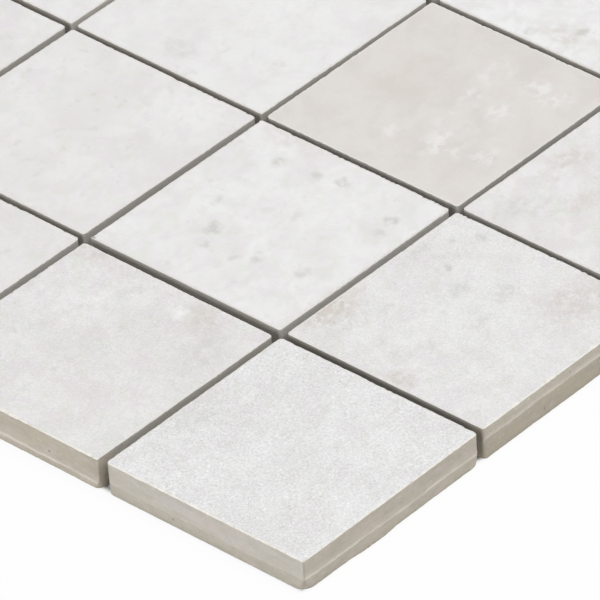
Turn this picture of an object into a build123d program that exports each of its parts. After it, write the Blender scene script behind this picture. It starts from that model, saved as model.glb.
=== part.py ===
from build123d import *
from math import atan, degrees, sin
import os

# A porcelain mosaic sheet: square fired chips laid in a grid with open joints, face up, and glued
# by their backs to an open glass-fibre mesh. No grout is in the joints.
# Millimetres. +X runs along a row of chips, +Y goes from row to row and +Z is up through the face.
# The origin is the centre of the underside, on the level that the sheet lies on.

# Chips
chips_each_way = 6
chip_side = 49.44
chip_thickness = 7.5
corner_radius = 1.2
back_bevel_width = 0.7
back_bevel_height = 0.8

# Keying grooves pressed into the back of a chip, short of its edges
groove_count = 4
groove_width = 3.0
groove_depth = 0.4
groove_pitch = 10.5
groove_end_margin = 4.0

# Joints, and how far off its place in the grid a chip may sit after the sheet is glued up
joint_width = 1.36
place_error_x = 0.3
place_error_y = 0.21
turn_error = 0.3

# Mesh of two layers of straight strands
strands_each_way = 60
strand_width = 0.8
strand_thickness = 0.2
mesh_set_back = 3.0

parts_folder = "parts"

# Worked out from the sizes above
chip_pitch = chip_side + joint_width
sheet_side = chips_each_way * chip_pitch - joint_width
mesh_side = sheet_side - 2 * mesh_set_back
strand_pitch = (mesh_side - strand_width) / (strands_each_way - 1)
chip_base = 2 * strand_thickness
on_base = (Align.CENTER, Align.CENTER, Align.MIN)


def centred_steps(count, step):
    """Places of a row of like things, a step apart and centred on zero."""
    return [(index - (count - 1) / 2) * step for index in range(count)]


def make_chip():
    """One fired chip that stands on its own back, centred on the Z axis."""
    body = extrude(RectangleRounded(chip_side, chip_side, corner_radius), chip_thickness)
    back_side = chip_side - 2 * back_bevel_width
    bevel_flare = degrees(atan(back_bevel_width / back_bevel_height))
    body = body & extrude(Rectangle(back_side, back_side), chip_thickness, taper=-bevel_flare)
    groove = Box(chip_side - 2 * groove_end_margin, groove_width, groove_depth, align=on_base)
    grooves = [Pos(0, y, 0) * groove for y in centred_steps(groove_count, groove_pitch)]
    return body - grooves


def placing_error(column, row):
    """How far a chip is off the grid along X and Y, and how many degrees it is turned."""
    along_x = place_error_x * sin(2.62 * row - 0.32 * column + 1.3)
    along_y = place_error_y * sin(0.74 * row + 1.67 * column - 1.0)
    turned = turn_error * sin(1.48 * row - 0.8 * column + 1.96)
    return along_x, along_y, turned


def make_chips():
    """Every chip by its name, laid on the mesh and centred on it as a group."""
    chip = make_chip()
    places = centred_steps(chips_each_way, chip_pitch)
    chips = {}
    for row, y in enumerate(places):
        for column, x in enumerate(places):
            along_x, along_y, turned = placing_error(column, row)
            seat = Pos(x + along_x, y + along_y, chip_base) * Rot(0, 0, turned)
            chips[f"tile_r{row + 1}_c{column + 1}"] = seat * chip
    middle = Compound(list(chips.values())).bounding_box().center()
    return {name: Pos(-middle.X, -middle.Y, 0) * chip for name, chip in chips.items()}


def make_strands(turned, base):
    """One layer of the mesh: parallel strands that lie at a height of base."""
    strand = Box(mesh_side, strand_width, strand_thickness, align=on_base)
    lines = centred_steps(strands_each_way, strand_pitch)
    return Compound([Pos(0, 0, base) * Rot(0, 0, turned) * Pos(0, y, 0) * strand for y in lines])


pieces = make_chips()
pieces["mesh_warp"] = make_strands(0, 0)
pieces["mesh_weft"] = make_strands(90, strand_thickness)

os.makedirs(parts_folder, exist_ok=True)
for name, piece in pieces.items():
    export_step(piece, os.path.join(parts_folder, f"{name}.step"))
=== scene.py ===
import math
import bpy
import numpy as np
from mathutils import Matrix, Vector


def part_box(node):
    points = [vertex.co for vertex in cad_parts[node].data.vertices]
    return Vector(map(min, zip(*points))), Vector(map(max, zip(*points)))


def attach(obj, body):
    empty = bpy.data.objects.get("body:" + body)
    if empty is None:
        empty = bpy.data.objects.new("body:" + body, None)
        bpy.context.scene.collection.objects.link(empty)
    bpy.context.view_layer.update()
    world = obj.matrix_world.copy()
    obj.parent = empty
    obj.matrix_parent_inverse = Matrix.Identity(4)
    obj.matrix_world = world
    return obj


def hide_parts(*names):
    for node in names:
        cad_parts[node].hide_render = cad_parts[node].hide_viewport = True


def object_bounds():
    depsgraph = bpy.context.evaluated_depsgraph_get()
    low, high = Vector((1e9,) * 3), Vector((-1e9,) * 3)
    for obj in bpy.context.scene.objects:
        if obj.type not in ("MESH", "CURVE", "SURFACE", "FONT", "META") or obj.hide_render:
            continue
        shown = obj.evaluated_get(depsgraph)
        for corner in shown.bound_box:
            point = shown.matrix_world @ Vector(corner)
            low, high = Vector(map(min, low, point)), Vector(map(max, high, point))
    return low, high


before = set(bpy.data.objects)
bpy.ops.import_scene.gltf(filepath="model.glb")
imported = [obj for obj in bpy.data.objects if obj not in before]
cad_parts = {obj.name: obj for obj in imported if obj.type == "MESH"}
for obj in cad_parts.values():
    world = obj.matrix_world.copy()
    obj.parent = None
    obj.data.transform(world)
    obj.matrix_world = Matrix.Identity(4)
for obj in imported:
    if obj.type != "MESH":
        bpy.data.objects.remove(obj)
cad_low, cad_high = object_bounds()

# Looks of a porcelain mosaic sheet: fired chips with worn arrises on a glass-fibre mesh.
# Lengths are millimetres until a mesh is made, and the frame is the sheet's own.
MM = 0.001

# Sides of a chip, in the order that its outline runs, and the way that each one faces
SOUTH, EAST, NORTH, WEST = range(4)
side_normals = ((0, -1), (1, 0), (0, 1), (-1, 0))

# Material of each face of a chip's mesh
FACE, RIM, BODY = range(3)

# Chips along the sheet and across it, as in the part. A chip is named by its row and column
chips_each_way = 6

# Spacing of an outline's points, which lie closer on the rows and columns near the photograph's corner
near_rows = 3
near_spacing = 0.4
usual_spacing = 0.6
corner_steps = 6

# A chip's turn is found where its sides stand nearest to its middle, in degrees
largest_turn = 1.0
turn_step = 0.005

# Face: inset and corner radius of its flat middle, its drop from there to the arris, and the share of the
# drop that lies before the rim
flat_inset = 1.1
flat_corner = 0.5
face_drop = 0.015
share_at_rim = 0.6

# Rim and worn arris: how far the arris reaches in and down, angles of its rings, bands of the rim's material
rim_width = 0.28
arris_inset = 0.1
arris_drop = 0.12
arris_angles = (0, 30, 60, 90)
rim_bands = 3

# Nicks of the arris, with the way from one to the next, how flat their floors are, how far down they go for
# how far in, and their strength on a side
nick_runs = 28
nicks_in_a_run = (1, 4)
nick_reach = (0.25, 0.7)
nick_depth = (0.05, 0.26)
nick_step = (0.6, 1.8)
nick_flatness = 1.3
nick_drop = 0.8
nick_strength = (0.7, 2.0)

# Usual corner radii at the face and at the back, how they blend into each other over the height, and the
# largest share of a radius that a ring may stand in
usual_face_corner = (0.4, 0.9)
usual_back_corner = (1.4, 2.2)
corner_blend_height = 2.6
corner_blend_power = 1.3
corner_inset_share = 0.9

# Waves of the sides: least inset, depth on a side, lengths, and how much they lean with the height
side_sink = 0.012
side_wave = (0.02, 0.07)
side_wave_lengths = (27, 11, 5, 2.3, 1.5)
side_wave_lean = 0.9

# Factors between which a wave's length may differ from the one given, and the peak of a sum of waves
wave_length_range = (0.8, 1.2)
wave_peak = 1.3

# Rings of a side: depths below the face, shares of the way on to the pressing line and from it to the foot,
# and angles round the foot
depth_below_arris = 0.4
depth_of_upper_side = 0.9
upper_shares = (0, 0.5)
lower_shares = (0.4, 0.75)
foot_angles = (0, 22.5, 45, 67.5, 90)

# Pressing line round the sides: how far it stands out, its half width, the sizes and lengths of the waves
# that it wanders in, and how near it may come to the foot and to the face
ridge_height = 0.07
ridge_half_width = 0.42
ridge_wander = ((0.22, (60, 33, 19)), (0.05, (6, 2.7)))
ridge_above_foot = 0.75
ridge_below_face = 1.5

# Section of the pressing line: half widths above its middle, then how far out and how pale, from 0 to 1
ridge_section = ((1, 0, 0.25), (0.35, 0.75, 0.8), (0, 1, 1), (-0.5, 0.6, 0.7), (-1, 0, 0.2))

# Rounded foot of a side: usual radius, its factors on a side, the size and lengths of its ripple, its limit
foot_radius = 0.6
foot_radius_range = (0.8, 1.25)
foot_ripple = 0.04
foot_ripple_lengths = (23, 9, 4)
largest_foot_radius = 1.4

# Keying grooves of a chip's back, as in the part
groove_count = 4
groove_width = 3.0
groove_depth = 0.4
groove_pitch = 10.5
groove_end_margin = 4.0
groove_field_corner = 0.6

# Wall of a groove above its mouth: how far in it stands, and its share of the depth there
groove_wall = ((0.1, 0.15), (0.22, 0.75), (0.4, 1.0))

# Corner radii at the face and at the back where the photograph shows them, south-west corner first
shown_corners = {
    (1, 1): ((0.35, 1.0, 0.9, 1.1), (3.2, 2.2, 1.8, 1.5)),
    (1, 2): ((0.7, 1.0, 0.8, 0.9), (1.2, 1.8, 1.6, 1.8)),
    (2, 1): ((0.6, 0.9, 1.0, 1.2), (1.8, 1.6, 1.8, 2.0)),
}

# Sides that the photograph shows: share of the height below the face where the pressing line runs, its
# strength, then lightness and warmth above it and below it
shown_sides = {
    ((1, 1), SOUTH): (0.58, 1.2, -0.01, 0.5, -0.04, 0.6),
    ((1, 1), WEST): (0.58, 0.25, 0.125, -0.3, -0.01, 0.35),
    ((1, 2), SOUTH): (0.34, 0.9, 0.06, 0.5, -0.12, 1),
    ((2, 1), WEST): (0.74, 1.2, 0.02, 0.8, 0, 0.7),
    ((1, 2), WEST): (0.5, 0.3, -0.28, -0.6, -0.18, -0.4),
    ((2, 1), SOUTH): (0.5, 0.4, -0.1, -0.6, -0.12, -0.3),
    ((2, 4), WEST): (0.5, 0.2, 0.17, -0.6, 0.15, -0.5),
    ((4, 3), SOUTH): (0.5, 0.2, 0.17, -0.6, 0.15, -0.5),
}

# Ranges of the same values on the other sides, with the step from above the line to below it
usual_line = ((0.35, 0.72), (0.1, 0.7))
inner_side_tone = ((-0.07, 0.06), (-1.0, -0.5))
outer_side_tone = ((-0.08, 0.08), (0.2, 0.8))
tone_step = ((-0.05, 0.05), (0.0, 0.15))

# Height over which the tones above and below the pressing line blend into each other
tone_blend_height = 0.8

# Lightness and warmth of a chip's back
back_tone = ((-0.03, 0.03), (0.3, 0.5))

# How worn the rims are in the joints, where those on the sheet's outside are worn by 1
inner_rim_wear = 0.1

# Painted light: how much lighter a joint's walls are just below the face, and how far down that fades
joint_top_painted_light = 0.16
joint_top_reach = 1.3

# How warm a joint's walls get at its mouth on the sheet's outside, and how far in that fades
joint_mouth_warmth = 1.0
joint_mouth_reach = 5.0

# Painted shade: how much darker an outer side gets at its foot, next to the floor, and how far up that fades
painted_foot_shade = 0.14
foot_shade_reach = 0.9

# Painted shade: how much darker a side is just above its pressing line, and how far up that fades
painted_line_shade = 0.08
line_shade_reach = 4.0

# Chips that are darker at their south-west corner: how much, and how far from its edge
shown_corner_shades = {
    (1, 1): (0.26, 0.28),
    (2, 1): (0.09, 2.5),
    (1, 2): (0.08, 2.5),
}
no_corner_shade = (0.0, 1.0)

# The dark corner fades below this height, down to its least share, and is warmer by its darkness times this
corner_shade_height = 3.0
corner_shade_least = 0.3
corner_shade_warmth = 6.0

# How far a side stands in from its part's, as chips differ a little in size: south, east, north, west
shown_insets = {
    (1, 1): (0.08, 0.07, -0.06, 0.12), (1, 2): (0.06, -0.07, 0.07, 0.11),
    (2, 1): (0.12, 0.19, 0.24, 0.17), (2, 2): (0, -0.19, 0.41, 0.27),
    (2, 3): (-0.13, -0.12, -0.03, 0), (3, 2): (-0.16, -0.06, 0.14, 0.08),
    (1, 3): (0.06, 0, 0.08, 0), (3, 3): (-0.19, 0, -0.2, 0.06),
    (3, 1): (-0.22, -0.09, 0, 0.03), (2, 4): (0, 0, 0, -0.09),
    (4, 1): (-0.2, 0, 0, 0.03), (4, 2): (0.05, 0.12, 0, 0),
    (4, 3): (0.06, 0, 0, -0.17),
}
largest_usual_inset = 0.12

# Where the foot of a chip's south side is hardly rounded: place along the side from 0 to 1, and reach
shown_sharp_feet = {(1, 1): (0.37, 0.12)}

# Nodes of the chips with the beige face
beige_chips = ("tile_r2_c3", "tile_r4_c6", "tile_r5_c2")

# Strength of a face's grain and clouds, and its tone from dull to bright, where the photograph shows them
shown_faces = {
    (1, 1): (1.5, 0.55, 1), (1, 2): (0.92, 0.75, 0.2), (2, 1): (0.78, 1, -0.2),
    (2, 2): (0.12, 0.78, 0.5), (2, 3): (0.12, None, 0), (3, 2): (0.1, 0.8, -0.15),
    (1, 3): (0.4, 1.1, 0), (3, 1): (0.35, 0.9, -0.5), (3, 3): (0.06, 0.6, 0.3),
    (2, 4): (0.12, None, 0.9), (4, 2): (0.08, None, None), (4, 3): (0.08, None, None),
    (3, 4): (0.1, None, None),
}
usual_face = (("grain", (0.35, 0.8)), ("cloud", (0.6, 1.0)), ("tone", (-0.6, 0.6)))

# How far from the middle of all patterns a chip's own may be taken
pattern_reach = 400

# Marks on the faces of chips: place from the chip's centre, half sizes, strength
brown_marks = {
    (1, 2): ((-14, 23, 8, 4, 1), (-22.6, -2.2, 3, 4, 0.8), (18, -13, 9.5, 7, 0.55)),
    (2, 1): ((20.5, -10.6, 5.5, 5, 0.6), (23.5, 21.5, 4, 5.5, 0.6)),
    (2, 2): ((23.5, 15, 3, 8, 0.45),),
    (1, 3): ((0.5, 18.6, 6, 3.5, 0.7), (-9, 8, 4.5, 3, 0.5)),
    (2, 4): ((-19, -3.5, 3.5, 7.5, 0.6),),
}
grey_marks = {
    (1, 1): ((-4, 21, 10, 4, 0.3),),
    (1, 2): (
        (-16.6, 3, 2.6, 3, 0.35), (-13.5, 17.5, 8, 3.5, 0.35), (9.5, 14.3, 1.2, 1.2, 0.9),
        (17.5, 19, 1.6, 1.2, 0.5), (11, 22.1, 2.6, 1.6, 0.5), (21.4, 15.4, 1.7, 1.3, 0.5),
        (5.9, 7.5, 3.2, 2.3, 0.5), (10.9, 0, 3.6, 2.5, 0.45), (0.2, -1.7, 3.2, 2.1, 0.4),
    ),
    (1, 3): ((-18.1, 16.6, 4.5, 3, 0.5), (-15, 12, 5.5, 3.5, 0.35)),
    (2, 1): ((13, -18, 8.5, 4.5, 0.35),),
    (2, 2): (
        (-7.5, 7.5, 2, 1.7, 0.9), (16.3, 12.1, 1.7, 1.5, 0.8), (17.3, 3.3, 1.6, 1.8, 0.9),
        (18.9, -2.2, 1.5, 2, 0.9), (-9.5, -5.8, 1.8, 1.5, 0.8), (5.2, -2.8, 1.9, 1.3, 0.7),
        (2.8, 3, 1.5, 1.3, 0.6), (-8.2, -16.1, 2, 1.6, 0.8), (10.4, -18.6, 1.6, 1.4, 0.8),
        (15.1, -18.1, 1.6, 1.4, 0.9), (-0.5, 13.1, 1.7, 1.3, 0.6), (-12.3, 5.2, 1.5, 1.6, 0.7),
        (-12.5, -1.6, 1.7, 1.4, 0.7),
    ),
    (2, 4): ((-22, 2.5, 1.3, 1.2, 0.8), (-16, -6.1, 1.7, 1.5, 0.8)),
    (3, 3): ((-18, 3, 3, 4, 0.4),),
}
light_marks = {
    (1, 1): ((-10, -14, 5, 10, 0.5),),
    (2, 1): ((18.6, -6, 2, 2.2, 1), (9, 10, 7, 5, 0.5)),
    (2, 2): ((5, -1, 15, 9, 0.4),),
    (3, 2): ((19.5, -14.1, 6, 11, 0.5),),
    (3, 3): ((5, 0, 14, 18, 0.4),),
}
tan_marks = {(2, 3): ((1.5, 11.1, 9.5, 6, 0.7),)}
fleck_marks = {
    (2, 3): (
        (-10, -9, 6, 5.5, 1), (-5.1, -9.3, 3.6, 3, 0.9), (-8.5, -18.5, 4, 4, 0.8),
        (-13.2, 2.2, 2.6, 2.2, 0.7), (-3.6, -3.9, 3.2, 2.2, 0.7), (5, -3.2, 3.6, 3.2, 0.8),
        (4.1, -11.2, 3.6, 3, 0.9), (13.7, -1.4, 5, 4, 0.6), (14.8, -11.5, 3.6, 3.6, 1),
        (14, -17, 4.5, 4, 0.8),
    ),
}

# A mark grows from nothing to its full strength between these shares of its half sizes
mark_edge = (1.35, 0.35)

# Large pores in the sides: chip, place from the chip's centre, height, half size
side_pores = (
    ((2, 1), -24.6, -11.9, 4.0, 0.22),
    ((1, 1), -24.6, 8.0, 2.4, 0.16),
    ((1, 2), 9.0, -24.6, 2.2, 0.15),
)

# How light a large pore is beside the body round it, and the half sizes at which it has faded out
side_pore_shade = 0.6
side_pore_edge = 1.8

# Grain of the faces: depth of its relief, and how much painted shade darkens its hollows and painted light
# lifts its raised bits
grain_depth = 0.15
painted_grain_shade = 0.16

# Depth of the relief of the rims, of the bare body and of the fibres
rim_relief = 0.03
body_relief = 0.06
fibre_relief = 0.02

# How much longer the clouds are along a chip's diagonal than across it
cloud_lengthening = 0.2

# Mesh strands, as in the part
strands_each_way = 60
strand_width = 0.8

# Yarns that stand for them, with their faces round and along, and the sizes and lengths of their swellings
yarn_sides = 8
yarn_steps = 72
yarn_end_gap = 0.02
yarn_sway = 0.07
yarn_sway_length = (35, 70)
yarn_half_width = 0.29
yarn_swellings = ((0.03, 5.03), (0.015, 1.9))
yarn_half_thickness = 0.098
yarn_fullness = 0.7

# The photograph's view: the point of the face that the lens aims at, and where the lens stands
aim_point = (-91.173, -97.268, 7.9)
view_azimuth = 44.191
view_elevation = 36.329
view_roll = 3.844
view_distance = 1776.06
view_lens = 560.08
sensor_width = 36.0

# Lamps: name, direction that the light comes from in degrees from +X, its height in degrees, how bright
# a white surface that faces it gets, and its width. Widths and distance are in metres
lamps = (
    ("key", -92, 61, 0.655, 1.9),
    ("left_fill", 182, 17, 0.32, 1.5),
    ("back_fill", 47, 20, 0.24, 1.6),
)
lamp_distance = 3.0

# Brightness of the surround, of the floor itself, and of the floor beyond the sheet where it is seen
surround = 0.29
floor_white = 0.85
seen_floor_white = 0.94

# Floor: how far below the sheet it lies, how far inside the sheet's edges it turns white, half its width
floor_drop = 0.05
floor_margin = 1.2
floor_reach = 4000.0

def chip_cell(node):
    """Row and column of a chip, from its node's name."""
    return int(node[6]), int(node[9])

def outer_sides(cell):
    """Which sides of a chip lie on the sheet's outside."""
    row, column = cell
    return row == 1, column == chips_each_way, row == chips_each_way, column == 1

def read_place(node):
    """Centre, turn, half side, base and top of a chip, read from its node, in millimetres and radians."""
    points = np.array([v.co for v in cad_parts[node].data.vertices]) / MM
    low, high = points.min(0), points.max(0)
    centre = (low[:2] + high[:2]) / 2
    spread = points[:, :2] - centre
    turns = np.radians(np.arange(-largest_turn, largest_turn, turn_step))
    halves = [np.abs(spread @ np.array([math.cos(t), math.sin(t)])).max() for t in turns]
    best = int(np.argmin(halves))
    return {"centre": centre, "turn": turns[best], "half": halves[best], "base": low[2], "top": high[2]}

def groove_edges():
    """Where each keying groove starts and ends, from the chip's centre."""
    middles = [(index - (groove_count - 1) / 2) * groove_pitch for index in range(groove_count)]
    return [(middle - groove_width / 2, middle + groove_width / 2) for middle in middles]

def side_stations(half, spacing):
    """Places along a side from -1 to 1, with one at each edge of a keying groove."""
    reach = half - groove_end_margin - groove_field_corner
    edges = [-reach, *np.ravel(groove_edges()), reach]
    stations = [-1.0]
    for start, end in zip(edges, edges[1:]):
        steps = max(2, round((end - start) * half / reach / spacing))
        stations += list(np.linspace(start, end, steps + 1)[1:] / reach)
    return np.array(stations)

def outline(stations, half, radii):
    """Points, outward normals and largest insets round a square with rounded corners.

    Each side is followed by the corner at its end, the south side first. The first radius is that of the
    south-west corner, where the outline ends.
    """
    points, normals, limits = [], [], []
    for side in range(4):
        normal = np.array(side_normals[side], float)
        along = np.array((-normal[1], normal[0]))
        start_radius, end_radius = radii[side], radii[(side + 1) % 4]
        places = -half + start_radius + (stations + 1) / 2 * (2 * half - start_radius - end_radius)
        points.append(normal * half + places[:, None] * along)
        normals.append(np.repeat(normal[None], len(stations), 0))
        limits += [half] * len(stations)
        angles = np.linspace(0, math.pi / 2, corner_steps + 1)[1:-1]
        arc = np.cos(angles)[:, None] * normal + np.sin(angles)[:, None] * along
        points.append((normal + along) * (half - end_radius) + arc * end_radius)
        normals.append(arc)
        limits += [corner_inset_share * end_radius] * len(angles)
    return np.concatenate(points), np.concatenate(normals), np.array(limits)

def ring(stations, half, radii, inset, height):
    """Points of a ring that stands in from the outline by an inset, at a height."""
    points, normals, limits = outline(stations, half, radii)
    inset = np.minimum(inset, limits)
    return np.column_stack([points - normals * inset[:, None], np.full(len(points), height)])

def drawn(dice, spans):
    """One random value from each span."""
    return [dice.uniform(*span) for span in spans]

def side_looks(cell, dice):
    """For each side, where its pressing line runs, its strength, and the tones above it and below it."""
    looks = []
    for side, outer in enumerate(outer_sides(cell)):
        line, upper, step = (drawn(dice, spans) for spans in (usual_line, inner_side_tone, tone_step))
        if outer:
            upper = drawn(dice, outer_side_tone)
        lower = [value + change for value, change in zip(upper, step)]
        looks.append(shown_sides.get((cell, side), (*line, *upper, *lower)))
    return looks

class ChipShape:
    """Rings of points round a chip from its face to its back, and what its material reads at each point."""

    def __init__(self, cell, half, thickness, dice):
        self.half = half
        self.top = thickness
        self.outer = outer_sides(cell)
        self.rings = []
        self.looks = {"ridge": [], "lightness": [], "warmth": [], "wear": []}
        self.set_outline(cell, dice)
        self.set_pressing_line(cell, dice)
        self.set_edges(cell, dice)
        self.set_shades(cell)
        self.add_face()
        self.add_sides()
        self.add_back(dice)

    def set_outline(self, cell, dice):
        """Points of the face's outline, and how far round the chip each one lies."""
        spacing = near_spacing if max(cell) <= near_rows else usual_spacing
        self.stations = side_stations(self.half, spacing)
        usual = (dice.uniform(*usual_face_corner, 4), dice.uniform(*usual_back_corner, 4))
        self.face_radii, self.back_radii = (np.array(r) for r in shown_corners.get(cell, usual))
        self.points = outline(self.stations, self.half, self.face_radii)[0]
        steps = np.linalg.norm(np.roll(self.points, -1, 0) - self.points, axis=1)
        self.distance = np.concatenate([[0], np.cumsum(steps)[:-1]])
        self.total = steps.sum()

    def set_pressing_line(self, cell, dice):
        by_side = [self.spread(values) for values in zip(*side_looks(cell, dice))]
        shares, self.strength, *self.tones = by_side
        wander = sum(size * self.ripple(dice, lengths) for size, lengths in ridge_wander)
        lowest, highest = foot_radius + ridge_above_foot, self.top - ridge_below_face
        self.line = np.clip(self.top * (1 - shares) + wander, lowest, highest)

    def set_edges(self, cell, dice):
        """Nicks, depth of the waves, radius of the foot and insets of the sides."""
        nick = self.nicks(dice)
        self.nick = nick * self.spread(dice.uniform(*nick_strength, 4))
        self.wave_depth = self.spread(dice.uniform(*side_wave, 4))
        foot = foot_radius * self.spread(dice.uniform(*foot_radius_range, 4))
        foot = foot * (1 + foot_ripple * self.ripple(dice, foot_ripple_lengths))
        self.foot = np.minimum(foot, largest_foot_radius)
        if cell in shown_sharp_feet:
            middle, reach = shown_sharp_feet[cell]
            along = self.distance / (self.total / 4)
            self.foot = self.foot * (1 - np.exp(-((along - middle) / reach) ** 4))
        self.wave_seed = int(dice.integers(1 << 30))
        usual_insets = dice.uniform(0, largest_usual_inset, 4)
        self.inward = self.spread(shown_insets.get(cell, usual_insets))

    def set_shades(self, cell):
        """Wear of the rim, painted light at the top of the joints' walls, and what else changes the sides'
        tones.
        """
        self.wear = self.outer_or_inner(1.0, inner_rim_wear)
        self.painted_top_light = self.outer_or_inner(0.0, joint_top_painted_light)
        self.inner = self.outer_or_inner(0.0, 1.0)
        nearness = np.zeros(len(self.points))
        for normal, outer in zip(side_normals, self.outer):
            if outer:
                away = self.half - self.points @ normal
                nearness = np.maximum(nearness, 1 - away / joint_mouth_reach)
        self.near_mouth = self.inner * nearness
        amount, reach = shown_corner_shades.get(cell, no_corner_shade)
        corner = self.distance[-(corner_steps // 2)]
        self.corner_shade = amount * np.exp(-(self.way_round(corner) / reach) ** 2)

    def spread(self, values):
        """One value for each side, spread over the outline and blended over its corners."""
        line = []
        for side in range(4):
            here, after = values[side], values[(side + 1) % 4]
            line += [here] * len(self.stations)
            line += list(np.linspace(here, after, corner_steps + 1)[1:-1])
        return np.array(line)

    def outer_or_inner(self, outer_value, inner_value):
        return self.spread([outer_value if outer else inner_value for outer in self.outer])

    def way_round(self, place):
        """How far each point lies from a place on the outline, the shorter way round."""
        return np.abs((self.distance - place + self.total / 2) % self.total - self.total / 2)

    def ripple(self, dice, lengths, lean=0.0):
        """A wavy line round the chip, from about -1 to 1, with waves of about these lengths."""
        line = np.zeros(len(self.distance))
        for length in lengths:
            cycles = max(1, round(self.total / length * dice.uniform(*wave_length_range)))
            start = dice.uniform(0, math.tau)
            leaning = lean * dice.uniform(-1, 1)
            line += np.sin(math.tau * cycles * self.distance / self.total + start + leaning)
        return line / len(lengths) ** 0.5 / wave_peak

    def nicks(self, dice):
        """Depth of the small rough nicks along the arris, which come singly and in short runs."""
        depth = np.zeros(len(self.distance))
        for _ in range(nick_runs):
            middle = dice.uniform(0, self.total)
            for _ in range(dice.integers(*nicks_in_a_run, endpoint=True)):
                reach = dice.uniform(*nick_reach)
                deepest = dice.uniform(*nick_depth)
                slope = nick_flatness * (1 - self.way_round(middle) / reach)
                depth = np.maximum(depth, deepest * np.clip(slope, 0, 1))
                middle += dice.uniform(*nick_step)
        return depth

    def radii_at(self, height):
        """Corner radii at a height, from the face's to the back's."""
        share = np.clip((corner_blend_height - height) / corner_blend_height, 0, 1) ** corner_blend_power
        return self.face_radii + (self.back_radii - self.face_radii) * share

    def sink(self, height):
        """How far in the sides stand at a height, with the same draw of waves for every height."""
        wave_dice = np.random.default_rng(self.wave_seed)
        waves = self.ripple(wave_dice, side_wave_lengths, side_wave_lean * height)
        return self.inward + side_sink + self.wave_depth * (1 + waves)

    def shade_at(self, height, pale):
        """How much darker the sides are: painted shade just above the pressing line, a dark corner, and
        painted shade at the foot.
        """
        above = np.clip((height - self.line) / line_shade_reach, 0, 1)
        # Painted shade in a band just above the pressing line
        near_line = np.where(above > 0, (1 - above) ** 2, 0) * (1 - np.clip(pale, 0, 1))
        at_corner = self.corner_shade * np.clip(height / corner_shade_height, corner_shade_least, 1)
        # Painted contact shade at the foot of the outer sides
        at_foot = (1 - self.inner) * np.clip(1 - height / foot_shade_reach, 0, 1)
        return painted_line_shade * self.strength * near_line + at_corner + painted_foot_shade * at_foot

    def add(self, points, pale=0.0):
        """One more ring, and what the material reads at its points."""
        height = points[:, 2]
        upper, upper_warmth, lower, lower_warmth = self.tones
        below = np.clip((self.line - height) / tone_blend_height + 0.5, 0, 1)
        near_top = np.clip(1 - (self.top - height) / joint_top_reach, 0, 1)
        # Painted light at the top of the joints' walls, where more light falls into the gap
        lightness = upper + (lower - upper) * below + self.painted_top_light * near_top
        warmth = upper_warmth + (lower_warmth - upper_warmth) * below
        warmth = warmth + self.near_mouth * (joint_mouth_warmth - warmth)
        self.rings.append(points)
        self.looks["ridge"].append(np.zeros(len(points)) + pale)
        self.looks["lightness"].append(lightness - self.shade_at(height, pale))
        self.looks["warmth"].append(warmth + corner_shade_warmth * self.corner_shade)
        self.looks["wear"].append(self.wear)

    def add_ring(self, radii, inset, height, pale=0.0):
        self.add(ring(self.stations, self.half, radii, inset, height), pale)

    def add_face(self):
        """Rings of the face, of the pale rim round it and of the worn arris."""
        top = self.top
        self.add(ring(self.stations, self.half - flat_inset, np.full(4, flat_corner), 0, top))
        rim_inset = self.sink(top) + arris_inset + self.nick + rim_width
        self.add_ring(self.face_radii, rim_inset, top - share_at_rim * face_drop)
        for angle in np.radians(arris_angles):
            inset = self.sink(top) + (arris_inset + self.nick) * (1 - math.sin(angle))
            height = top - face_drop - (arris_drop + nick_drop * self.nick) * (1 - math.cos(angle))
            self.add_ring(self.face_radii, inset, height)

    def add_sides(self):
        """Rings of the sides: down to the pressing line, over it, and on to the foot."""
        start = self.top - depth_of_upper_side
        line_top, line_foot = self.line + ridge_half_width, self.line - ridge_half_width
        heights = [self.top - depth_below_arris]
        heights += [start + (line_top - start) * share for share in upper_shares]
        for height in heights:
            self.add_ring(self.face_radii, self.sink(height), height)
        line_radii = self.radii_at(self.line.mean())
        for place, lift, pale in ridge_section:
            height = self.line + place * ridge_half_width
            inset = self.sink(height) + side_sink - lift * ridge_height * self.strength
            self.add_ring(line_radii, inset, height, pale * self.strength)
        for share in lower_shares:
            height = line_foot + (self.foot - line_foot) * share
            self.add_ring(self.radii_at(height.mean()), self.sink(height), height)

    def add_back(self, dice):
        """Rings of the rounded foot, and the border of the back's field with the back's own tones."""
        for angle in np.radians(foot_angles):
            height = self.foot * (1 - math.sin(angle))
            inset = self.sink(height) + self.foot * (1 - math.cos(angle))
            self.add_ring(self.radii_at(height.mean()), inset, height)
        field = self.half - groove_end_margin
        self.add(ring(self.stations, field, np.full(4, groove_field_corner), 0, 0))
        for name, value in zip(("lightness", "warmth"), drawn(dice, back_tone)):
            self.looks[name][-1] = np.full(len(self.points), value)

def band_faces(level, count):
    """Four-sided faces between a ring and the next one."""
    upper, lower = level * count, (level + 1) * count
    pairs = [(index, (index + 1) % count) for index in range(count)]
    return [[lower + here, lower + after, upper + after, upper + here] for here, after in pairs]

def groove_faces(points, mouth):
    """Faces of one keying groove from its mouth to its floor. Its own points are added to the chip's."""
    border = np.array([points[index][:2] for index in mouth])
    centre = border.mean(0)
    half_spans = np.ptp(border, 0) / 2
    levels = [mouth]
    for inset, share in groove_wall:
        levels.append([len(points) + index for index in range(len(mouth))])
        shrunk = centre + (border - centre) * (1 - inset / half_spans)
        points += [[x, y, share * groove_depth] for x, y in shrunk]
    faces = []
    for outer, inner in zip(levels, levels[1:]):
        for index in range(len(mouth)):
            after = (index + 1) % len(mouth)
            faces.append([inner[index], inner[after], outer[after], outer[index]])
    return faces + [levels[-1][::-1]]

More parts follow.
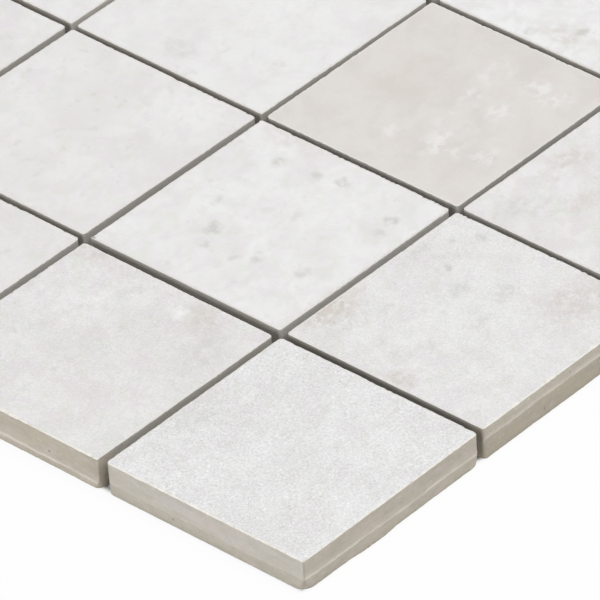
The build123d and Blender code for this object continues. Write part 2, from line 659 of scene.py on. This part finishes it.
def back_faces(points, stations, start):
    """Faces of a chip's back, from its border's first point: flats between the grooves, then the grooves."""
    count = len(stations)
    step = count + corner_steps - 1
    runs = [list(range(start + side * step, start + (side + 1) * step)) for side in range(4)]
    east, north_east = runs[EAST][:count], runs[EAST][count:]
    west, south_west = runs[WEST][:count][::-1], runs[WEST][count:]
    across = stations * abs(points[east[0]][1])
    borders = [[int(np.argmin(np.abs(across - edge))) for edge in edges] for edges in groove_edges()]
    low, high = borders[0][0], borders[-1][1]

    flats = [west[:low + 1][::-1] + south_west + runs[SOUTH] + east[:low + 1]]
    for (_, end), (begin, _) in zip(borders, borders[1:]):
        flats.append(west[end:begin + 1][::-1] + east[end:begin + 1])
    flats.append(east[high:] + north_east + runs[NORTH] + west[high:][::-1])
    faces = [flat[::-1] for flat in flats]
    for low, high in borders:
        faces += groove_faces(points, east[low:high + 1] + west[low:high + 1][::-1])
    return faces

def chip_surface(shape):
    """Points and faces of a chip, and the material of each face."""
    points = [list(p) for p in np.concatenate(shape.rings)]
    count = len(shape.points)
    bands = len(shape.rings) - 1
    faces = [list(range(count))]
    kinds = [FACE]
    for level in range(bands):
        faces += band_faces(level, count)
        kinds += [FACE if level == 0 else RIM if level <= rim_bands else BODY] * count
    back = back_faces(points, shape.stations, bands * count)
    return np.array(points), faces + back, kinds + [BODY] * len(back)

def set_down(points, place):
    """A chip's points, turned and moved to its place on the sheet."""
    cosine, sine = math.cos(place["turn"]), math.sin(place["turn"])
    placed = points.copy()
    placed[:, :2] = points[:, :2] @ np.array(((cosine, sine), (-sine, cosine))) + place["centre"]
    placed[:, 2] += place["base"]
    return placed

def new_object(name, data):
    made = bpy.data.objects.new(name, data)
    bpy.context.scene.collection.objects.link(made)
    return made

def new_mesh(name, points, faces):
    """A mesh object from points in millimetres, in the sheet's frame."""
    mesh = bpy.data.meshes.new(name)
    mesh.from_pydata([tuple(p) for p in np.asarray(points) * MM], [], faces)
    return new_object(name, mesh)

def add_values(mesh, name, values, kind="FLOAT", field="value"):
    """One number or vector for each point of a mesh, for its material to read."""
    attribute = mesh.attributes.new(name, kind, "POINT")
    attribute.data.foreach_set(field, np.asarray(values, np.float32).ravel())

def add_looks(mesh, cell, shape, points, dice):
    """What a chip's materials read: its rings' looks, its own place in the patterns, its face's looks."""
    for name, levels in shape.looks.items():
        in_grooves = np.full(len(points) - sum(map(len, levels)), levels[-1].mean())
        add_values(mesh, name, np.concatenate(levels + [in_grooves]))
    offset = dice.uniform(-pattern_reach, pattern_reach, 3)
    add_values(mesh, "spot", points + offset, "FLOAT_VECTOR", "vector")
    for (name, span), shown in zip(usual_face, shown_faces.get(cell, (None, None, None))):
        usual = dice.uniform(*span)
        add_values(mesh, name, np.full(len(points), usual if shown is None else shown))

def make_chip(node, materials):
    """A detailed chip in the place of its node."""
    place = read_place(node)
    row, column = cell = chip_cell(node)
    dice = np.random.default_rng(1000 * row + column)
    shape = ChipShape(cell, place["half"], place["top"] - place["base"], dice)
    points, faces, kinds = chip_surface(shape)
    chip = new_mesh("chip_" + node[5:], set_down(points, place), faces)
    add_looks(chip.data, cell, shape, points, dice)
    face_material = "beige_face" if node in beige_chips else "white_face"
    for name in (face_material, "rim", "body"):
        chip.data.materials.append(materials[name])
    chip.data.polygons.foreach_set("material_index", np.array(kinds, np.int32))
    chip.data.polygons.foreach_set("use_smooth", np.array([len(face) == 4 for face in faces]))
    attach(chip, "root")
    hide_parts(node)

def yarn_points(run, across, lengths, centres, half_widths, middle):
    points = []
    for length, centre, half_width in zip(lengths, centres, half_widths):
        for angle in np.linspace(0, math.tau, yarn_sides, endpoint=False):
            bulge = math.sin(angle)
            height = middle + yarn_half_thickness * math.copysign(abs(bulge) ** yarn_fullness, bulge)
            point = [0, 0, height]
            point[run] = length
            point[across] = centre + half_width * math.cos(angle)
            points.append(point)
    return points

def yarn_faces(start, flipped):
    """Faces round one yarn and over its ends, from its first point."""
    faces = []
    for step in range(yarn_steps):
        here, there = start + step * yarn_sides, start + (step + 1) * yarn_sides
        for index in range(yarn_sides):
            after = (index + 1) % yarn_sides
            faces.append([here + index, here + after, there + after, there + index])
    first = list(range(start, start + yarn_sides))
    last = [index + yarn_steps * yarn_sides for index in first]
    faces += [first[::-1], last]
    return [face[::-1] for face in faces] if flipped else faces

def make_yarns(node, along_x, material):
    """Flat yarns of one layer of the mesh, in the place of its straight strands."""
    low, high = (np.array(corner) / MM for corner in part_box(node))
    dice = np.random.default_rng(7 if along_x else 8)
    run, across = (0, 1) if along_x else (1, 0)
    places = np.linspace(low[across] + strand_width / 2, high[across] - strand_width / 2, strands_each_way)
    lengths = np.linspace(low[run] + yarn_end_gap, high[run] - yarn_end_gap, yarn_steps + 1)
    middle = (low[2] + high[2]) / 2
    points, faces = [], []
    for place in places:
        phases = dice.uniform(0, math.tau, 3)
        sway = yarn_sway * np.sin(math.tau * lengths / dice.uniform(*yarn_sway_length) + phases[0])
        half_widths = yarn_half_width
        for (size, length), phase in zip(yarn_swellings, phases[1:]):
            half_widths = half_widths + size * np.sin(math.tau * lengths / length + phase)
        faces += yarn_faces(len(points), along_x)
        points += yarn_points(run, across, lengths, place + sway, half_widths, middle)
    yarns = new_mesh("yarns_" + node[5:], points, faces)
    yarns.data.materials.append(material)
    yarns.data.polygons.foreach_set("use_smooth", np.ones(len(faces), bool))
    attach(yarns, "root")
    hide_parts(node)

def linear(level):
    """Linear strength of a level from 0 to 255 as a picture shows it."""
    share = level / 255
    return share / 12.92 if share <= 0.04045 else ((share + 0.055) / 1.055) ** 2.4

def colour(red, green, blue):
    """A colour from its picture levels."""
    return (linear(red), linear(green), linear(blue), 1.0)

class Shading:
    """Short calls for the nodes of a material or of the world."""

    def __init__(self, owner):
        owner.use_nodes = True
        self.owner = owner
        self.tree = owner.node_tree
        self.tree.nodes.clear()

    def fill(self, socket, given):
        """Gives a socket another node's output or a constant value."""
        if isinstance(given, bpy.types.NodeSocket):
            self.tree.links.new(given, socket)
        else:
            socket.default_value = given

    def add(self, kind, inputs=None, **settings):
        made = self.tree.nodes.new("ShaderNode" + kind)
        for key, value in settings.items():
            setattr(made, key, value)
        for key, given in (inputs or {}).items():
            self.fill(made.inputs[key], given)
        return made

    def value(self, name):
        return self.add("Attribute", attribute_name=name).outputs["Fac"]

    def spot(self):
        """Place on the chip in millimetres, moved so that no two chips have the same patterns."""
        return self.add("Attribute", attribute_name="spot").outputs["Vector"]

    def sheet_point(self):
        """Place on the sheet in millimetres."""
        return self.scale(self.add("TexCoord").outputs["Object"], 1 / MM)

    def maths(self, operation, first, second=0.0, third=0.0):
        return self.add("Math", {0: first, 1: second, 2: third}, operation=operation).outputs[0]

    def times(self, first, second):
        return self.maths("MULTIPLY", first, second)

    def scale(self, vector, factor):
        return self.add("VectorMath", {0: vector, 3: factor}, operation="SCALE").outputs[0]

    def vector(self, operation, *given):
        return self.add("VectorMath", dict(enumerate(given)), operation=operation).outputs["Vector"]

    def measure(self, operation, *given):
        """A number that is worked out from vectors."""
        return self.add("VectorMath", dict(enumerate(given)), operation=operation).outputs["Value"]

    def stretch(self, vector, factors):
        return self.vector("MULTIPLY", vector, factors)

    def noise(self, vector, size, detail=3.0, roughness=0.6, distortion=0.0):
        """Noise with features of about this size in millimetres, from 0 to 1."""
        inputs = {"Scale": 1 / size, "Detail": detail, "Roughness": roughness, "Distortion": distortion}
        return self.add("TexNoise", {"Vector": vector, **inputs}).outputs["Fac"]

    def ramp(self, value, start, end, low=0.0, high=1.0, smooth=True):
        """Value carried from start..end to low..high."""
        inputs = {"Value": value, "From Min": start, "From Max": end, "To Min": low, "To Max": high}
        kind = "SMOOTHSTEP" if smooth else "LINEAR"
        return self.add("MapRange", inputs, interpolation_type=kind).outputs["Result"]

    def patches(self, vector, size, start, end, detail=3.0, roughness=0.6, distortion=0.0):
        """Soft patches of about this size, which go from 0 to 1 where the noise goes from start to end."""
        return self.ramp(self.noise(vector, size, detail, roughness, distortion), start, end)

    def mix(self, share, first, second):
        made = self.add("Mix", data_type="RGBA")
        for place, given in ((0, share), (6, first), (7, second)):
            self.fill(made.inputs[place], given)
        return made.outputs[2]

    def bump(self, height, depth):
        """Relief of this depth in millimetres where the height goes from 0 to 1."""
        made = self.add("Bump", {"Height": height, "Strength": 1.0, "Distance": depth * MM})
        return made.outputs["Normal"]

    def finish(self, base, roughness, normal, specular):
        inputs = {"Roughness": roughness, "Normal": normal, "Specular IOR Level": specular}
        shader = self.add("BsdfPrincipled", {"Base Color": base, **inputs})
        self.add("OutputMaterial", {"Surface": shader.outputs[0]})
        return self.owner

def new_material(name):
    return Shading(bpy.data.materials.new(name))

def sheet_place(cell, across, up):
    """Place on the sheet of a point of a chip's face, from its own centre."""
    node = "tile_r%d_c%d" % cell
    low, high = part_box(node)
    centre = (low + high) / 2 / MM
    return centre.x + across, centre.y + up

def mark_mask(shade, places, marks):
    """Where the listed marks lie on the faces, and how strong they are there."""
    total = None
    for cell, own_marks in marks.items():
        for across, up, half_across, half_up, strength in own_marks:
            x, y = sheet_place(cell, across, up)
            scale = (1 / half_across, 1 / half_up, 0)
            shift = (-x / half_across, -y / half_up, 0)
            away = shade.measure("LENGTH", shade.vector("MULTIPLY_ADD", places, scale, shift))
            mask = shade.ramp(away, *mark_edge, 0, strength)
            total = mask if total is None else shade.maths("MAXIMUM", total, mask)
    return total

def lengthened(shade, spot):
    """The places drawn together along a chip's diagonal, so that clouds are a little longer that way."""
    diagonal = (math.sqrt(0.5), math.sqrt(0.5), 0)
    along = shade.measure("DOT_PRODUCT", spot, diagonal)
    pull = shade.scale(diagonal, shade.times(along, -cloud_lengthening))
    return shade.vector("ADD", spot, pull)

def ragged_places(shade, spot, size, reach):
    """The sheet's places, moved by noise of this size and reach, so that marks get ragged edges."""
    wobble = shade.add("TexNoise", {"Vector": spot, "Scale": 1 / size, "Detail": 4.0}).outputs["Color"]
    shift = shade.vector("MULTIPLY_ADD", wobble, (2 * reach, 2 * reach, 0), (-reach, -reach, 0))
    return shade.vector("ADD", shade.sheet_point(), shift)

def face_relief(shade, spot):
    """The leathery grain of a face: its relief's height, and how far a place is hollow or raised."""
    fine = shade.noise(spot, 0.46, 3, 0.7, 0.8)
    broad = shade.noise(spot, 1.4, 2, 0.6, 0.5)
    height = shade.maths("MULTIPLY_ADD", broad, 0.7, fine)
    raised = shade.ramp(fine, 0.25, 0.75, -1.0, 1.0, smooth=False)
    return shade.times(height, shade.value("grain")), raised

def finish_face(shade, base):
    """Grain with painted shade in its hollows and painted light on its raised bits, fine mottling and gloss,
    which both kinds of face share.
    """
    spot = shade.spot()
    mottle = shade.noise(spot, 0.9, 3, 0.65)
    height, raised = face_relief(shade, spot)
    mottling = shade.ramp(mottle, 0.3, 0.7, 0.989, 1.011, smooth=False)
    # Painted shade in the grain's hollows and painted light on its raised bits, following the relief
    grain = shade.times(raised, shade.value("grain"))
    lightness = shade.maths("MULTIPLY_ADD", grain, painted_grain_shade, mottling)
    roughness = shade.ramp(mottle, 0.3, 0.7, 0.62, 0.72, smooth=False)
    return shade.finish(shade.scale(base, lightness), roughness, shade.bump(height, grain_depth), 0.2)

def with_clouds(shade, spot, base):
    """The base with broad grey, mauve and greenish clouds and soft specks, in this order."""
    cloud = shade.value("cloud")
    mirrored = shade.stretch(spot, (-1, 1, 1))
    clouds = (
        (shade.patches(spot, 12.0, 0.40, 0.66, 3, 0.5, 0.4), 0.5, colour(224, 221, 220)),
        (shade.patches(spot, 5.0, 0.44, 0.64, 4, 0.6, 0.5), 0.55, colour(227, 220, 224)),
        (shade.patches(mirrored, 3.2, 0.46, 0.66, 4, 0.6, 0.5), 0.5, colour(222, 225, 216)),
        (shade.patches(spot, 2.6, 0.64, 0.74, 2, 0.5), 0.4, colour(211, 209, 204)),
    )
    for mask, strength, tint in clouds:
        base = shade.mix(shade.times(mask, shade.times(cloud, strength)), base, tint)
    return base

def white_face():
    """Off-white printed face with soft clouds and a few brown, grey and light marks."""
    shade = new_material("white_face")
    spot = lengthened(shade, shade.spot())
    tone = shade.ramp(shade.value("tone"), -1, 1, smooth=False)
    base = with_clouds(shade, spot, shade.mix(tone, colour(230, 228, 227), colour(241, 241, 241)))

    places = ragged_places(shade, spot, 2.6, 2.2)
    break_up = shade.ramp(shade.noise(spot, 1.8), 0.34, 0.6, 0.15, 1.0)
    stains = (
        (brown_marks, 0.8, colour(210, 201, 193)),
        (grey_marks, 0.95, colour(206, 205, 201)),
        (light_marks, 0.8, colour(245, 245, 244)),
    )
    for marks, strength, tint in stains:
        mask = shade.times(mark_mask(shade, places, marks), break_up)
        base = shade.mix(shade.times(mask, strength), base, tint)
    return finish_face(shade, base)

def beige_face():
    """Pale beige printed face with a tan cloud and soft white flecks."""
    shade = new_material("beige_face")
    spot = lengthened(shade, shade.spot())
    mirrored = shade.stretch(spot, (-1, 1, 1))
    clouds = shade.patches(spot, 8.0, 0.40, 0.66, 4, 0.6, 0.4)
    pinkish = shade.patches(mirrored, 4.0, 0.46, 0.66, 4, 0.6, 0.4)
    base = shade.mix(clouds, colour(225, 221, 217), colour(219, 214, 210))
    base = shade.mix(shade.times(pinkish, 0.5), base, colour(223, 216, 213))

    places = ragged_places(shade, spot, 6.0, 1.5)
    tan = shade.times(mark_mask(shade, places, tan_marks), shade.ramp(pinkish, 0, 1, 0.5, 1.0))
    base = shade.mix(shade.times(tan, 0.65), base, colour(217, 207, 197))

    gaps = shade.ramp(shade.noise(shade.stretch(spot, (1, -1, 1)), 3.4, 2, 0.5), 0.38, 0.54, 0.15, 1)
    fleck_shape = shade.times(shade.patches(spot, 2.4, 0.41, 0.56), gaps)
    few_flecks = shade.patches(spot, 4.2, 0.6, 0.7, 4, 0.65, 0.6)
    flecks = shade.times(mark_mask(shade, places, fleck_marks), fleck_shape)
    flecks = shade.maths("MAXIMUM", flecks, shade.times(few_flecks, 0.2))
    base = shade.mix(shade.times(flecks, 0.65), base, colour(240, 239, 237))
    return finish_face(shade, base)

def worn_rim():
    """Worn arris of a chip: pale with darker patches on the sheet's outside, nearly plain in the joints."""
    shade = new_material("rim")
    spot = shade.spot()
    patchy = shade.noise(spot, 1.1, 4, 0.65)
    worn = shade.mix(shade.ramp(patchy, 0.46, 0.7), colour(239, 236, 230), colour(220, 215, 206))
    base = shade.mix(shade.value("wear"), colour(225, 222, 218), worn)
    normal = shade.bump(shade.noise(spot, 0.35), rim_relief)
    return shade.finish(base, shade.ramp(patchy, 0.3, 0.7, 0.5, 0.7), normal, 0.35)

def body_colour(shade, spot, small):
    """Grey-beige in long soft streaks, with pale strokes and the broken paler pressing line."""
    warmth = shade.value("warmth")
    streaks = shade.noise(shade.stretch(spot, (0.45, 0.45, 1.5)), 4.0, 4, 0.6, 0.4)
    pinkish = shade.noise(shade.stretch(spot, (-0.5, -0.5, 1.3)), 3.0)
    strokes = shade.patches(shade.stretch(spot, (0.5, 0.5, 2.4)), 1.0, 0.64, 0.73, 2, 0.5)
    broken = shade.ramp(shade.noise(shade.stretch(spot, (0.4, 0.4, 1.2)), 1.6), 0.36, 0.58, 0.5, 0.95)
    base = shade.mix(warmth, colour(196, 191, 184), colour(193, 184, 165))
    layers = (
        (shade.ramp(streaks, 0.36, 0.64, 0, 0.75), colour(184, 178, 164)),
        (shade.ramp(pinkish, 0.5, 0.66, 0, 0.6), colour(202, 190, 183)),
        (shade.ramp(small, 0.42, 0.7, 0, 0.28), colour(174, 167, 152)),
        (shade.times(strokes, 0.6), colour(218, 212, 202)),
        (shade.times(shade.value("ridge"), broken), colour(222, 215, 203)),
        (shade.ramp(warmth, -1, 0, 0.8, 0), colour(182, 180, 176)),
    )
    for share, tint in layers:
        base = shade.mix(share, base, tint)
    return base

def body_pores(shade, spot):
    """How light the body is for its pores: many fine ones, and a few large ones at listed places."""
    pores = shade.ramp(shade.noise(spot, 0.9, 1, 0.5), 0.76, 0.8, 1.0, 0.7)
    for cell, across, up, height, half in side_pores:
        x, y = sheet_place(cell, across, up)
        away = shade.measure("DISTANCE", shade.sheet_point(), (x, y, height))
        pores = shade.times(pores, shade.ramp(away, half, side_pore_edge * half, side_pore_shade, 1.0))
    return pores

def bare_body():
    """Bare fired body of the sides and the back, with its streaks, pores and fine grain."""
    shade = new_material("body")
    spot = shade.spot()
    small = shade.noise(shade.stretch(spot, (0.8, 0.8, 1.4)), 1.3, 4, 0.65)
    grain = shade.noise(spot, 0.35)
    # Painted shade in the fine grain's hollows and painted light on its raised bits, times the pores
    lightness = shade.times(shade.ramp(grain, 0.3, 0.7, 0.94, 1.05, smooth=False), body_pores(shade, spot))
    lightness = shade.times(lightness, shade.maths("ADD", shade.value("lightness"), 1.0))
    base = shade.scale(body_colour(shade, spot, small), lightness)
    normal = shade.bump(shade.maths("MULTIPLY_ADD", small, 1.6, grain), body_relief)
    return shade.finish(base, shade.ramp(small, 0.3, 0.7, 0.62, 0.8), normal, 0.3)

def coated_fibre(name, along_x):
    """White coated glass fibre with the fine lines of its filaments."""
    shade = new_material(name)
    point = shade.sheet_point()
    along = (0.12, 1, 1) if along_x else (1, 0.12, 1)
    lines = shade.noise(shade.stretch(point, along), 0.09, 2, 0.5)
    coat = shade.noise(point, 1.4, 3, 0.55)
    base = shade.mix(shade.ramp(lines, 0.35, 0.65), colour(214, 213, 208), colour(240, 240, 236))
    base = shade.mix(shade.ramp(coat, 0.5, 0.75, 0, 0.5), base, colour(222, 219, 206))
    return shade.finish(base, shade.ramp(coat, 0.3, 0.7, 0.32, 0.5), shade.bump(lines, fibre_relief), 0.5)

def add_lamps():
    """Soft square lamps round the sheet, all aimed at its middle."""
    for name, azimuth, elevation, strength, width in lamps:
        lamp = bpy.data.lights.new(name, "AREA")
        lamp.shape = "SQUARE"
        lamp.size = width
        lamp.energy = strength * (math.pi * lamp_distance) ** 2
        holder = new_object(name, lamp)
        turn, lift = math.radians(azimuth), math.radians(elevation)
        towards = Vector((math.cos(turn) * math.cos(lift), math.sin(turn) * math.cos(lift), math.sin(lift)))
        holder.location = towards * lamp_distance
        holder.rotation_euler = towards.to_track_quat("Z", "Y").to_euler()

def seen_directly(shade):
    """One for rays that show the background itself: from the camera, in a reflection or through glass."""
    path = shade.add("LightPath").outputs
    seen = shade.maths("MAXIMUM", path["Is Camera Ray"], path["Is Glossy Ray"])
    return shade.maths("MAXIMUM", seen, path["Is Transmission Ray"])

def add_surround():
    """A soft even light from all round, which is plain white where it is seen."""
    world = bpy.data.worlds.new("surround")
    bpy.context.scene.world = world
    shade = Shading(world)
    strength = shade.ramp(seen_directly(shade), 0, 1, surround, 1, smooth=False)
    background = shade.add("Background", {"Color": (1, 1, 1, 1), "Strength": strength})
    shade.add("OutputWorld", {"Surface": background.outputs[0]})

def floor_material():
    """A white floor that is nearly plain white where it is seen, but keeps the sheet's shadow round it."""
    shade = new_material("floor")
    plain = shade.add("BsdfDiffuse", {"Color": (floor_white, floor_white, floor_white, 1)})
    white = shade.add("Emission", {"Color": (1, 1, 1, 1), "Strength": 1.0})
    x_factor, y_factor = (1 / (value / MM - floor_margin) for value in (cad_high.x, cad_high.y))
    place = shade.stretch(shade.sheet_point(), (x_factor, y_factor, 0.0))
    split = shade.add("SeparateXYZ", {0: shade.vector("ABSOLUTE", place)}).outputs
    outside = shade.ramp(shade.maths("MAXIMUM", split["X"], split["Y"]), 0.99, 1.0, 0, seen_floor_white)
    share = shade.times(seen_directly(shade), outside)
    mixed = shade.add("MixShader", {0: share, 1: plain.outputs[0], 2: white.outputs[0]})
    shade.add("OutputMaterial", {"Surface": mixed.outputs[0]})
    return shade.owner

def add_floor():
    reach = floor_reach
    corners = ((-reach, -reach), (reach, -reach), (reach, reach), (-reach, reach))
    floor = new_mesh("floor", [(x, y, -floor_drop) for x, y in corners], [[0, 1, 2, 3]])
    floor.data.materials.append(floor_material())

def add_camera():
    azimuth, elevation, roll = (math.radians(a) for a in (view_azimuth, view_elevation, view_roll))
    flat = math.cos(elevation)
    forward = Vector((flat * math.cos(azimuth), flat * math.sin(azimuth), -math.sin(elevation)))
    level_right = forward.cross(Vector((0, 0, 1))).normalized()
    level_up = level_right.cross(forward)
    up = math.cos(roll) * level_up + math.sin(roll) * level_right
    right = forward.cross(up)
    place = Vector(aim_point) * MM - forward * view_distance * MM
    lens = bpy.data.cameras.new("camera")
    lens.lens = view_lens
    lens.sensor_width = sensor_width
    lens.clip_start = 0.05
    lens.clip_end = 50
    camera = new_object("camera", lens)
    turn = Matrix((right, up, -forward)).transposed()
    camera.matrix_world = Matrix.Translation(place) @ turn.to_4x4()
    bpy.context.scene.camera = camera

def main():
    materials = {
        "white_face": white_face(),
        "beige_face": beige_face(),
        "rim": worn_rim(),
        "body": bare_body(),
    }
    for node in sorted(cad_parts):
        if node.startswith("tile_"):
            make_chip(node, materials)
    make_yarns("mesh_warp", True, coated_fibre("fibre_along_x", True))
    make_yarns("mesh_weft", False, coated_fibre("fibre_along_y", False))
    add_lamps()
    add_surround()
    add_floor()
    add_camera()
    bpy.context.scene.view_settings.view_transform = "Standard"

main()
